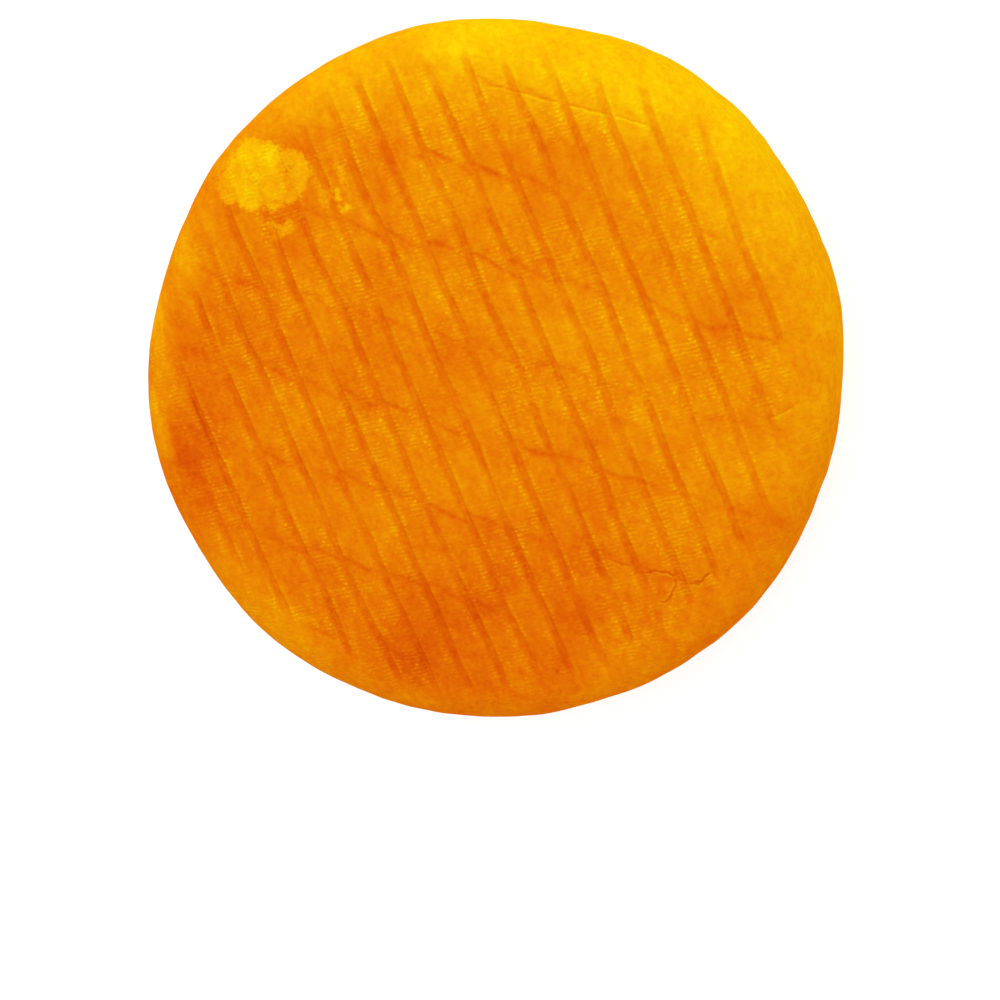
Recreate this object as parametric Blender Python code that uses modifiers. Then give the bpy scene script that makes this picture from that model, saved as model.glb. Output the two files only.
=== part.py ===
"""Flat wheel of pressed, washed-rind cheese, lying on its lower face.

The wheel is a turned body whose outline is a little out of round. Both faces carry the
shallow marks of the wire rack it was pressed and ripened on: a close set of long marks,
and a wider, fainter set that crosses them. The upper face is slightly uneven. The lower
face is flat between its marks, and the wheel rests on it.
"""

import math

import bmesh
import bpy

# Overall size, in metres
DIAMETER = 0.1984
HEIGHT = 0.045
BELLY_LEVEL = 0.023

# Rounded shoulders between the faces and the bulging side: radius of the arc in metres, and how
# far it turns in degrees before the flatter arc of the bulge takes over
UPPER_SHOULDER = 0.0090
UPPER_SHOULDER_TURN = 78.0
LOWER_SHOULDER = 0.0100
LOWER_SHOULDER_TURN = 72.0

# How finely the turned side is divided
SIDE_SEGMENTS = 96
SHOULDER_STEPS = 5
BULGE_STEPS = 2

# The outline's departures from a true circle: waves round the rim, height of a crest in
# metres, and the direction of one crest in degrees
OUTLINE_WAVES = (
    (1, 0.0010, 18.0),
    (2, 0.0014, 45.0),
    (3, 0.0002, -32.0),
    (4, 0.0003, 36.0),
    (5, 0.0003, 38.0),
    (6, 0.0002, 7.0),
    (8, 0.0004, 7.0),
    (9, 0.00015, -17.0),
)

# The waves die away towards the middle with this power of the distance from it
OUTLINE_POWER = 6

# The close set of rack marks: direction of their normal in degrees, spacing, width and depth
LONG_NORMAL = 22.6
LONG_PITCH = 0.00993
LONG_WIDTH = 0.0030
LONG_DEPTH = 0.0007

# Two of them on the upper face stray from their even places: the mark's number and how far
STRAY_MARKS = {-7: -0.0028, -8: -0.0007}

# The wider set that crosses it
CROSS_NORMAL = 74.9
CROSS_PITCH = 0.0235
CROSS_WIDTH = 0.0036
CROSS_DEPTH = 0.0004

# Where the marks nearest the middle of each face lie along their normals: long set, cross set
UPPER_OFFSETS = (-0.0053, -0.0115)
LOWER_OFFSETS = (LONG_PITCH / 2.0, CROSS_PITCH / 2.0)

# The faces are cut along these steps from a mark's middle, as shares of its width, and at
# these shares of the spacing between two marks
MARK_CUTS = (-0.5, 0.0, 0.5)
UPPER_LONG_PANEL_CUTS = (0.5,)
LOWER_LONG_PANEL_CUTS = ()
CROSS_PANEL_CUTS = (0.3, 0.5, 0.7)

# Marks fade out near the edge of a flat, sooner in one direction than across it: shares of the
# flat's radius, and the direction in degrees in which they reach furthest
MARK_REACH = 0.970
MARK_REACH_WAVE = 0.030
MARK_REACH_CREST = 130.0
MARK_FADE = 0.07

# The marks crowd together a little towards the rim: the most that a point moves in, as a share
# of its distance from the middle, and where that ends
CROWDING = 0.025
CROWDING_END = 0.85

# Each panel between two long marks is slightly crowned
PANEL_CROWN = 0.00015

# Low hills of the upper face: height and wavelength in metres, direction and start in degrees
FACE_HILLS = (
    (0.00025, 0.130, 20.0, 40.0),
    (0.00020, 0.085, 105.0, 250.0),
    (0.00012, 0.055, 160.0, 120.0),
)

# The rim of the upper face rolls off further on its +X side: most drop in metres, where it
# starts as a share of the radius, and its heading in degrees
ROLL_OFF = 0.0016
ROLL_OFF_START = 0.80
ROLL_OFF_HEADING = 15.0

RADIUS = DIAMETER / 2.0

# Points closer than this are one point
MERGE_DISTANCE = 0.00001

# Rind finish: linear colour and roughness
RIND_COLOUR = (0.84, 0.24, 0.010, 1.0)
RIND_ROUGHNESS = 0.48

# Edges sharper than this stay crisp in shading, in degrees
CRISP_ANGLE = 40.0


def clear_scene():
    """Remove every object that is already there."""
    for thing in list(bpy.data.objects):
        bpy.data.objects.remove(thing, do_unlink=True)


def smooth_step(low, high, value):
    """0 below low, 1 above high, and a smooth rise between."""
    share = min(1.0, max(0.0, (value - low) / (high - low)))
    return share * share * (3.0 - 2.0 * share)


def along_normal(x, y, normal):
    """Place of a point along a direction given in degrees."""
    turn = math.radians(normal)
    return x * math.cos(turn) + y * math.sin(turn)


def half_side(shoulder, shoulder_turn, rise):
    """Points of one half of the side, from the belly to the flat's edge.

    Each is the distance inside the widest radius and the distance from the belly level. The
    bulge is an arc that starts upright at the belly, and the shoulder's arc goes on from it.
    """
    last = math.radians(90.0 - shoulder_turn)
    bulge = (rise - shoulder * (1.0 - math.sin(last))) / math.sin(last)
    points = []
    for step in range(BULGE_STEPS):
        turn = last * step / BULGE_STEPS
        points.append((bulge * (1.0 - math.cos(turn)), bulge * math.sin(turn)))
    inside = bulge * (1.0 - math.cos(last))
    away = bulge * math.sin(last)
    for step in range(SHOULDER_STEPS + 1):
        turn = last + (0.5 * math.pi - last) * step / SHOULDER_STEPS
        further_in = shoulder * (math.cos(last) - math.cos(turn))
        further_away = shoulder * (math.sin(turn) - math.sin(last))
        points.append((inside + further_in, away + further_away))
    return points


def side_halves():
    """Both halves of the side, upper and lower, each from the belly to its flat's edge."""
    upper = half_side(UPPER_SHOULDER, UPPER_SHOULDER_TURN, HEIGHT - BELLY_LEVEL)
    lower = half_side(LOWER_SHOULDER, LOWER_SHOULDER_TURN, BELLY_LEVEL)
    return upper, lower


def side_profile():
    """Radius and level along the wheel's side, from its upper flat down to its lower flat."""
    upper, lower = side_halves()
    points = [(RADIUS - inside, BELLY_LEVEL + away) for inside, away in reversed(upper)]
    points += [(RADIUS - inside, BELLY_LEVEL - away) for inside, away in lower[1:]]
    return points


def flat_radii():
    """Radii of the upper and the lower flat."""
    upper, lower = side_halves()
    return RADIUS - upper[-1][0], RADIUS - lower[-1][0]


def turned_side():
    """Turn the side profile about the wheel's axis and return it as a mesh."""
    points = side_profile()
    vertices = [(radius, 0.0, level) for radius, level in points]
    edges = [(place, place + 1) for place in range(len(points) - 1)]
    profile = bpy.data.meshes.new("side_profile")
    profile.from_pydata(vertices, edges, [])
    turned = bpy.data.objects.new("side_profile", profile)
    bpy.context.scene.collection.objects.link(turned)
    screw = turned.modifiers.new("turn", "SCREW")
    screw.steps = SIDE_SEGMENTS
    screw.render_steps = SIDE_SEGMENTS
    screw.use_merge_vertices = True
    screw.merge_threshold = MERGE_DISTANCE
    bpy.context.view_layer.update()
    graph = bpy.context.evaluated_depsgraph_get()
    mesh = bpy.data.meshes.new_from_object(turned.evaluated_get(graph))
    bpy.data.objects.remove(turned, do_unlink=True)
    return mesh


def flat_parts(body, level):
    """Corners, edges and faces of the flat at this level."""
    faces = [
        face
        for face in body.faces
        if all(abs(corner.co.z - level) < MERGE_DISTANCE for corner in face.verts)
    ]
    edges = {edge for face in faces for edge in face.edges}
    corners = {corner for face in faces for corner in face.verts}
    return list(corners) + list(edges) + faces


def cut_places(pitch, offset, width, panel_cuts, reach, strays):
    """Places of one set's cut lines along its normal: across each mark and each panel."""
    first = math.floor((-reach - offset) / pitch)
    last = math.ceil((reach - offset) / pitch)
    places = []
    for count in range(first, last + 1):
        even = offset + count * pitch
        middle = even + strays.get(count, 0.0)
        steps = [middle + share * width for share in MARK_CUTS]
        steps += [even + share * pitch for share in panel_cuts]
        places += [step for step in steps if abs(step) < reach]
    return places


def cut_flat(body, level, normal, places):
    """Cut the flat at this level along lines that cross one normal at these places."""
    turn = math.radians(normal)
    across = (math.cos(turn), math.sin(turn), 0.0)
    for place in places:
        bmesh.ops.bisect_plane(
            body,
            geom=flat_parts(body, level),
            dist=MERGE_DISTANCE,
            plane_co=(across[0] * place, across[1] * place, level),
            plane_no=across,
        )


def trough(distance, width):
    """Depth share of a rounded trough at this distance from its middle."""
    share = min(1.0, abs(distance) / (width / 2.0))
    return 0.5 + 0.5 * math.cos(math.pi * share)


def from_nearest_mark(place, pitch, offset, strays):
    """Signed distance from the nearest mark of a set."""
    count = round((place - offset) / pitch)
    return place - offset - count * pitch - strays.get(count, 0.0)


def mark_depth(x, y, offsets, strays):
    """Depth of the rack marks at a point of a face, before they fade towards the rim."""
    long_gap = from_nearest_mark(along_normal(x, y, LONG_NORMAL), LONG_PITCH, offsets[0], strays)
    cross_gap = from_nearest_mark(along_normal(x, y, CROSS_NORMAL), CROSS_PITCH, offsets[1], {})
    long_part = LONG_DEPTH * trough(long_gap, LONG_WIDTH)
    cross_part = CROSS_DEPTH * trough(cross_gap, CROSS_WIDTH)
    return max(long_part, cross_part)


def mark_strength(x, y, flat):
    """1 where the marks of a flat of this radius are whole, 0 where they have faded out."""
    turn = math.atan2(y, x) - math.radians(MARK_REACH_CREST)
    reach = MARK_REACH + MARK_REACH_WAVE * math.cos(2.0 * turn)
    return 1.0 - smooth_step(reach - MARK_FADE, reach, math.hypot(x, y) / flat)


def panel_crown(x, y, offsets):
    """Height of the crowned panel between two long marks."""
    gap = from_nearest_mark(along_normal(x, y, LONG_NORMAL), LONG_PITCH, offsets[0], {})
    return PANEL_CROWN * math.sin(math.pi * gap / LONG_PITCH) ** 2


def face_hills(x, y):
    """Height of the low hills of the upper face."""
    height = 0.0
    for size, wavelength, heading, start in FACE_HILLS:
        waves = along_normal(x, y, heading) / wavelength
        height += size * math.sin(2.0 * math.pi * waves + math.radians(start))
    return height


def roll_off(x, y):
    """How far the upper face drops towards the rim on its soft side."""
    facing = 0.5 + 0.5 * math.cos(math.atan2(y, x) - math.radians(ROLL_OFF_HEADING))
    return ROLL_OFF * facing * smooth_step(ROLL_OFF_START, 1.0, math.hypot(x, y) / RADIUS)


def upper_level(x, y, level, flat):
    """Level of a point of the upper half, with its marks, hills and soft rim."""
    relief = panel_crown(x, y, UPPER_OFFSETS) - mark_depth(x, y, UPPER_OFFSETS, STRAY_MARKS)
    change = mark_strength(x, y, flat) * relief + face_hills(x, y) - roll_off(x, y)
    return level + change * smooth_step(BELLY_LEVEL, HEIGHT, level)


def lower_level(x, y, level, flat):
    """Level of a point of the lower flat, with the marks that rise into it."""
    return level + mark_strength(-x, y, flat) * mark_depth(x, y, LOWER_OFFSETS, {})


def outline_place(x, y):
    """Place of a point once its marks crowd towards the rim and the rim is out of round."""
    radial = math.hypot(x, y)
    angle = math.atan2(y, x)
    share = radial / RADIUS
    crowd = CROWDING * share ** 2 * (1.0 - smooth_step(CROWDING_END, 1.0, share))
    gain = sum(
        height * math.cos(count * (angle - math.radians(crest)))
        for count, height, crest in OUTLINE_WAVES
    )
    grown = radial * (1.0 - crowd) + gain * share ** OUTLINE_POWER
    return grown * math.cos(angle), grown * math.sin(angle)


def shape_corners(body):
    """Move every corner of the turned body to its place on the real, uneven wheel."""
    upper_flat, lower_flat = flat_radii()
    for corner in body.verts:
        x, y, level = corner.co
        if level > BELLY_LEVEL:
            level = upper_level(x, y, level, upper_flat)
        elif level < MERGE_DISTANCE:
            level = lower_level(x, y, level, lower_flat)
        corner.co = (*outline_place(x, y), level)


def centre_body(body):
    """Bring the middle of the uneven wheel's box onto the Z axis."""
    for axis in (0, 1):
        places = [corner.co[axis] for corner in body.verts]
        middle = (min(places) + max(places)) / 2.0
        for corner in body.verts:
            corner.co[axis] -= middle


def cut_marks(body, level, flat, offsets, long_panel_cuts, strays):
    """Divide one flat along the edges and middles of its rack marks, and across its panels."""
    long_places = cut_places(LONG_PITCH, offsets[0], LONG_WIDTH, long_panel_cuts, flat, strays)
    cross_places = cut_places(CROSS_PITCH, offsets[1], CROSS_WIDTH, CROSS_PANEL_CUTS, flat, {})
    cut_flat(body, level, LONG_NORMAL, long_places)
    cut_flat(body, level, CROSS_NORMAL, cross_places)


def rind_material():
    """Washed orange rind."""
    material = bpy.data.materials.new("rind")
    material.use_nodes = True
    shader = material.node_tree.nodes["Principled BSDF"]
    shader.inputs["Base Color"].default_value = RIND_COLOUR
    shader.inputs["Roughness"].default_value = RIND_ROUGHNESS
    shader.inputs["Metallic"].default_value = 0.0
    return material


def build_wheel(collection):
    """Make the wheel as one closed body in this collection."""
    mesh = turned_side()
    mesh.name = "wheel"
    body = bmesh.new()
    body.from_mesh(mesh)
    bmesh.ops.holes_fill(body, edges=body.edges, sides=SIDE_SEGMENTS)
    upper_flat, lower_flat = flat_radii()
    cut_marks(body, HEIGHT, upper_flat, UPPER_OFFSETS, UPPER_LONG_PANEL_CUTS, STRAY_MARKS)
    cut_marks(body, 0.0, lower_flat, LOWER_OFFSETS, LOWER_LONG_PANEL_CUTS, {})
    shape_corners(body)
    centre_body(body)
    bmesh.ops.triangulate(body, faces=body.faces)
    bmesh.ops.recalc_face_normals(body, faces=body.faces)
    body.to_mesh(mesh)
    body.free()
    mesh.shade_smooth()
    mesh.set_sharp_from_angle(angle=math.radians(CRISP_ANGLE))
    mesh.materials.append(rind_material())
    collection.objects.link(bpy.data.objects.new("wheel", mesh))


def main():
    """Build the cheese."""
    clear_scene()
    collection = bpy.data.collections.new("cheese_wheel")
    bpy.context.scene.collection.children.link(collection)
    build_wheel(collection)


main()
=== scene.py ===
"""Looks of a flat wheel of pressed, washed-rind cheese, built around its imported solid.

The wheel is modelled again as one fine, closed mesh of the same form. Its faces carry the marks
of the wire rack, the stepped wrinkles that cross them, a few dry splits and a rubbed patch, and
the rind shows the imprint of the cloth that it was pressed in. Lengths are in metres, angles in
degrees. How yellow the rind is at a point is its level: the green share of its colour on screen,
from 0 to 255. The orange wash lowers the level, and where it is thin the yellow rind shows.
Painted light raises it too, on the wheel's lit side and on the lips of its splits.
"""

import logging
import math
from dataclasses import dataclass, fields
from enum import Enum
from functools import partial, reduce

import bmesh
import bpy
import numpy as np
from mathutils import Color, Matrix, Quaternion, Vector


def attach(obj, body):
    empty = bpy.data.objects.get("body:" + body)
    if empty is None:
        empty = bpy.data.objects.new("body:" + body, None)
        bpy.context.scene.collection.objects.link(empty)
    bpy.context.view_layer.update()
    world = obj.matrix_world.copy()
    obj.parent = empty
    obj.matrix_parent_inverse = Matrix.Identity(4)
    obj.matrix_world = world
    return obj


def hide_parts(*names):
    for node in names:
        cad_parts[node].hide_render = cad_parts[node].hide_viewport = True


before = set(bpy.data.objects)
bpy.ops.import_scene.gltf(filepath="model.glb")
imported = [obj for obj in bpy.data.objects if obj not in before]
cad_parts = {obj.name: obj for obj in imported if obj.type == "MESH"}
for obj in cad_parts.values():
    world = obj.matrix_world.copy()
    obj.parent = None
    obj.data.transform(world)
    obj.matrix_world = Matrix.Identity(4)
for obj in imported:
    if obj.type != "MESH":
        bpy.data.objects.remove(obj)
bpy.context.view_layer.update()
LOG = logging.getLogger("cheese")

# Points closer than this are one point
MERGE_DISTANCE = 0.00001
# Far enough apart for the rise and fall of one mark to have nothing to do with the next one's
FAR_APART = 0.731
# Millimetres in a metre, and the top of the level scale
MILLIMETRES = 1000.0
FULL_LEVEL = 255.0
# Farther than anything on the wheel
FAR_AWAY = 1.0
WHITE = (1.0, 1.0, 1.0, 1.0)

Triple = tuple[float, float, float]
Colour = tuple[float, float, float, float]


def smooth_step(low: float, high: float, value: np.ndarray) -> np.ndarray:
    """Rise smoothly from 0, below the low value, to 1, above the high one."""
    share = np.clip((value - low) / (high - low), 0.0, 1.0)
    return share * share * (3.0 - 2.0 * share)


def along_normal(x: np.ndarray, y: np.ndarray, normal: float) -> np.ndarray:
    """How far points lie along a direction, which is given in degrees from +X."""
    turn = math.radians(normal)
    return x * math.cos(turn) + y * math.sin(turn)


def bell(distance: np.ndarray, width: float) -> np.ndarray:
    """Soft bump: 1 at no distance, 0.37 at one width."""
    return np.exp(-((distance / width) ** 2))


def add_object(name: str, data: bpy.types.ID) -> bpy.types.Object:
    """Put a mesh, light or camera into the scene.

    Args:
        name: The object's name.
        data: What it shows.

    Returns:
        The object.
    """
    made = bpy.data.objects.new(name, data)
    bpy.context.scene.collection.objects.link(made)
    return made


def finished_mesh(name: str, draft: bmesh.types.BMesh) -> bpy.types.Mesh:
    """Turn a draft into a mesh and free the draft.

    Args:
        name: The mesh's name.
        draft: The draft.

    Returns:
        The mesh.
    """
    mesh = bpy.data.meshes.new(name)
    draft.to_mesh(mesh)
    draft.free()
    return mesh


def slice_faces(
    body: bmesh.types.BMesh, faces: list[bmesh.types.BMFace], direction: Vector, places: list[float]
) -> list[bmesh.types.BMFace]:
    """Cut faces by parallel planes.

    Args:
        body: The body they belong to.
        faces: The faces.
        direction: The direction that the planes face.
        places: Where the planes stand along it.

    Returns:
        The faces after the cuts.
    """
    edges = {edge for face in faces for edge in face.edges}
    corners = {corner for face in faces for corner in face.verts}
    parts = list(corners) + list(edges) + faces
    for place in places:
        cut = bmesh.ops.bisect_plane(
            body, geom=parts, dist=MERGE_DISTANCE, plane_co=direction * place, plane_no=direction
        )
        parts = cut["geom"]
    return [part for part in parts if isinstance(part, bmesh.types.BMFace)]


class Face(Enum):
    """The two flat faces of the wheel."""

    UPPER = "upper"
    LOWER = "lower"


@dataclass(frozen=True)
class Unevenness:
    """Smooth rise and fall without a plan: seeded plane waves of about one length."""

    height: float
    wavelength: float
    seed: int
    waves: int = 14
    spread: tuple[float, float] = (0.7, 1.6)

    def at(self, *places: np.ndarray) -> np.ndarray:
        """Read the unevenness.

        Args:
            places: The points' places along each axis that it varies over.

        Returns:
            Its height there, around zero.
        """
        draw = np.random.default_rng(self.seed)
        total = np.zeros_like(places[0])
        for _ in range(self.waves):
            heading = draw.normal(size=len(places))
            heading /= np.linalg.norm(heading) * self.wavelength * draw.uniform(*self.spread)
            start = draw.uniform(0.0, 2.0 * math.pi)
            turns = sum(share * place for share, place in zip(heading, places))
            total += np.sin(2.0 * math.pi * turns + start)
        return self.height * math.sqrt(2.0 / self.waves) * total


@dataclass(frozen=True)
class Oval:
    """An oval on the face, and its value: a soft change, or the level of the rind inside it."""

    x: float
    y: float
    length: float
    width: float
    turn: float
    value: float

    def shares(self, x: np.ndarray, y: np.ndarray) -> tuple[np.ndarray, np.ndarray]:
        """Measure points from the oval's middle.

        Args:
            x: Places along X.
            y: Places along Y.

        Returns:
            How far they are along it and across it, as shares of its length and its width.
        """
        along = along_normal(x - self.x, y - self.y, self.turn) / self.length
        across = along_normal(x - self.x, y - self.y, self.turn + 90.0) / self.width
        return along, across

    def change(self, x: np.ndarray, y: np.ndarray) -> np.ndarray:
        """Soft change at these points."""
        along, across = self.shares(x, y)
        return self.value * bell(along, 1.0) * bell(across, 1.0)


@dataclass(frozen=True)
class LongMarks:
    """The close set of rack marks: shallow troughs with soft lips, each a little off its line."""

    normal: float = 22.6
    pitch: float = 0.00993
    own_share: float = 0.25
    floor_half: float = 0.0003
    half_width: float = 0.00142
    depth: float = 0.00064
    lip_place: float = 0.0020
    lip_width: float = 0.0006
    lip_height: float = 0.00006
    bead_place: float = 0.0023
    bead_width: float = 0.0009
    line_place: float = 0.00175
    line_width: float = 0.00045
    wander: Unevenness = Unevenness(0.00022, 0.034, 11)
    firm: float = 0.95
    firm_least: float = 0.45
    firm_most: float = 1.2
    firmness: Unevenness = Unevenness(0.18, 0.018, 12)
    beaded: float = 0.75
    lined: float = 0.60
    lip_most: float = 1.5
    lip_share: Unevenness = Unevenness(0.45, 0.014, 13)
    end_spread: Unevenness = Unevenness(0.014, 0.030, 14)

    def steps(self, x: np.ndarray, y: np.ndarray, offset: float) -> np.ndarray:
        """Place across the marks, counted in marks from the one at the offset."""
        return (along_normal(x, y, self.normal) - offset) / self.pitch

    def run(self, x: np.ndarray, y: np.ndarray) -> np.ndarray:
        """Place along the marks."""
        return along_normal(x, y, self.normal + 90.0)

    def gap(
        self, x: np.ndarray, y: np.ndarray, offset: float, strays: tuple[tuple[int, float], ...]
    ) -> tuple[np.ndarray, np.ndarray]:
        """Find the nearest mark.

        Args:
            x: Places along X.
            y: Places along Y.
            offset: Place of the middle mark along the normal.
            strays: Marks off their even places: each one's number, and how far it is off.

        Returns:
            The signed distance from its wandering middle, and its number.
        """
        steps = self.steps(x, y, offset)
        number = np.round(steps)
        middle = self.wander.at(self.run(x, y), number * FAR_APART)
        middle = middle + sum(np.where(number == stray, shift, 0.0) for stray, shift in strays)
        return (steps - number) * self.pitch - middle, number

    def cut_places(
        self,
        offset: float,
        reach: float,
        shares: tuple[float, ...],
        strays: tuple[tuple[int, float], ...],
    ) -> list[float]:
        """List where the face is cut across the marks; a stray mark takes its own cuts along.

        Args:
            offset: Place of the middle mark along the normal.
            reach: Radius within which there are cuts.
            shares: Shares of the pitch, from one mark's middle to the next.
            strays: Marks off their even places: each one's number, and how far it is off.

        Returns:
            Places along the normal.
        """
        places = []
        for place in repeated_places(offset, self.pitch, reach, shares):
            number = round((place - offset) / self.pitch)
            own = abs(place - offset - number * self.pitch) < self.own_share * self.pitch
            places.append(place + (dict(strays).get(number, 0.0) if own else 0.0))
        return sorted(places)


@dataclass(frozen=True)
class CrossMarks:
    """The wider, fainter set: wrinkles that dip across each panel and step up at a long mark."""

    normal: float = 74.9
    pitch: float = 0.0235
    core_width: float = 0.00075
    core_depth: float = 0.00018
    spread_width: float = 0.0019
    spread_depth: float = 0.00006
    spread_least: float = 0.35
    core_pigment: float = 1.05
    spread_pigment: float = 0.28
    dip: float = 0.0015
    panel_span: float = 0.01
    drift: Unevenness = Unevenness(0.00060, 0.011, 21)
    presence: Unevenness = Unevenness(0.28, 0.014, 22)
    usual: float = 0.62
    plainest: float = 1.60
    stretches: tuple[Oval, ...] = (
        Oval(-0.0427, 0.0008, 0.018, 0.006, -15.0, 0.60),
        Oval(-0.0390, -0.0254, 0.011, 0.006, -15.0, 0.30),
        Oval(-0.0159, 0.0170, 0.012, 0.006, -15.0, 0.42),
        Oval(0.0084, 0.0099, 0.008, 0.006, -15.0, 0.28),
        Oval(0.0200, 0.0079, 0.018, 0.006, -15.0, 0.40),
        Oval(0.0060, 0.0349, 0.007, 0.006, -15.0, 0.60),
        Oval(0.0328, 0.0286, 0.008, 0.006, -15.0, 0.25),
        Oval(0.0228, -0.0175, 0.012, 0.006, -15.0, 0.60),
        Oval(-0.0084, 0.0639, 0.011, 0.006, -15.0, 0.25),
        Oval(0.0086, 0.0602, 0.009, 0.006, -15.0, 0.60),
        Oval(0.0592, 0.0209, 0.011, 0.006, -15.0, 0.45),
        Oval(0.0398, -0.0229, 0.006, 0.006, -15.0, 0.20),
        Oval(-0.0305, -0.0528, 0.008, 0.006, -15.0, 0.45),
        Oval(-0.0137, -0.0321, 0.009, 0.006, -15.0, 0.30),
        Oval(-0.0187, 0.0428, 0.008, 0.006, -15.0, 0.35),
        Oval(0.0453, 0.0752, 0.018, 0.006, -15.0, -0.90),
        Oval(0.0431, 0.0504, 0.010, 0.006, -15.0, -0.25),
        Oval(-0.0801, 0.0103, 0.010, 0.006, -15.0, -0.50),
        Oval(0.0756, 0.0139, 0.010, 0.006, -15.0, -0.30),
    )

    def gap(
        self, x: np.ndarray, y: np.ndarray, offset: float, long_steps: np.ndarray
    ) -> tuple[np.ndarray, np.ndarray]:
        """Find the nearest wrinkle.

        Args:
            x: Places along X.
            y: Places along Y.
            offset: Place of the middle wrinkle along the normal.
            long_steps: Place across the long marks, counted in marks.

        Returns:
            The signed distance from the wrinkle's middle, and how plain the wrinkle is there.
        """
        steps = (along_normal(x, y, self.normal) - offset) / self.pitch
        number = np.round(steps)
        panel = np.floor(long_steps)
        across = long_steps - panel - 0.5
        places = (panel * FAR_APART, number * FAR_APART, across * self.panel_span)
        middle = self.drift.at(*places) - self.dip * across
        plain = self.usual + self.presence.at(*places)
        plain = plain + sum(part.change(x, y) for part in self.stretches)
        return (steps - number) * self.pitch - middle, np.clip(plain, 0.0, self.plainest)

    def cut_places(self, offset: float, reach: float, shares: tuple[float, ...]) -> list[float]:
        """List where the face is cut along the wrinkles, as LongMarks does."""
        return repeated_places(offset, self.pitch, reach, shares)


def repeated_places(
    offset: float, pitch: float, reach: float, shares: tuple[float, ...]
) -> list[float]:
    """Repeat the same places from one mark to the next.

    Args:
        offset: Place of the middle mark.
        pitch: Spacing of the marks.
        reach: The places stay within this distance of the middle.
        shares: Shares of the pitch, from a mark's middle.

    Returns:
        All places, in order.
    """
    first = math.floor((-reach - offset) / pitch)
    last = math.ceil((reach - offset) / pitch)
    places = [offset + (number + share) * pitch for number in range(first, last + 1) for share in shares]
    return sorted(place for place in places if abs(place) < reach)


def even_shares(inner: float, inner_count: int, outer_count: int) -> tuple[float, ...]:
    """Divide one pitch, finely near its mark and more coarsely between two marks.

    Args:
        inner: Half the finely cut stretch, as a share of the pitch.
        inner_count: How many equal parts that half has.
        outer_count: How many equal parts the rest has.

    Returns:
        Shares of the pitch, from one mark's middle up to the next one's.
    """
    near = [inner * step / inner_count for step in range(inner_count)]
    between = [inner + (1.0 - 2.0 * inner) * step / outer_count for step in range(outer_count)]
    back = [1.0 - inner + inner * step / inner_count for step in range(inner_count)]
    return tuple(near + between + back)


@dataclass(frozen=True)
class Split:
    """A dry split in the rind, along a bent line: a narrow slot with a raised lip. Its slot is painted
    darker, partly dark red staining and partly painted shade, and its lip brighter by painted highlight.
    """

    points: tuple[tuple[float, float], ...]
    # How dark the slot is painted: partly dark red staining, partly painted shade inside the slot
    stain_and_shade: float
    half_width: float = 0.00030
    depth: float = 0.00013
    # Levels of painted highlight on the lip, on the slot's side that faces the light
    lip_gain: float = 22.0
    lip_place: float = 0.00062
    lip_width: float = 0.00036
    lip_height: float = 0.00010
    taper: float = 0.0022
    shake: Unevenness = Unevenness(0.00021, 0.0022, 31)

    def read(self, x: np.ndarray, y: np.ndarray) -> tuple[np.ndarray, np.ndarray]:
        """Measure how far points are from the split's line.

        Args:
            x: Places along X.
            y: Places along Y.

        Returns:
            The signed distance, positive on the left of the line's run, and how open it is.
        """
        away = np.full_like(x, FAR_AWAY)
        side = np.zeros_like(x)
        opened = np.zeros_like(x)
        lengths = [math.dist(a, b) for a, b in zip(self.points, self.points[1:])]
        total = sum(lengths)
        behind = 0.0
        for (ax, ay), (bx, by), length in zip(self.points, self.points[1:], lengths):
            run_x, run_y = (bx - ax) / length, (by - ay) / length
            along = (x - ax) * run_x + (y - ay) * run_y
            across = (y - ay) * run_x - (x - ax) * run_y
            held = np.clip(along, 0.0, length)
            distance = np.hypot(along - held, across)
            nearer = distance < away
            away = np.where(nearer, distance, away)
            side = np.where(nearer, np.where(across < 0.0, -1.0, 1.0), side)
            place = behind + held
            ends = np.minimum(place, total - place) / self.taper
            opened = np.where(nearer, np.clip(ends, 0.0, 1.0) ** 0.5, opened)
            behind += length
        return away * side, opened

    def slot(self, x: np.ndarray, y: np.ndarray) -> tuple[np.ndarray, np.ndarray]:
        """Read the split's form.

        Args:
            x: Places along X.
            y: Places along Y.

        Returns:
            The share of its depth, and the share of its lip's height.
        """
        away, opened = self.read(x + self.shake.at(x, y), y + self.shake.at(y, x))
        deep = opened * bell(away, self.half_width)
        lip = opened * bell(away + self.lip_place, self.lip_width)
        return deep, lip


# How the three splits near the top wander
LONG_SHAKE = Unevenness(0.00010, 0.0030, 31)


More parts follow.
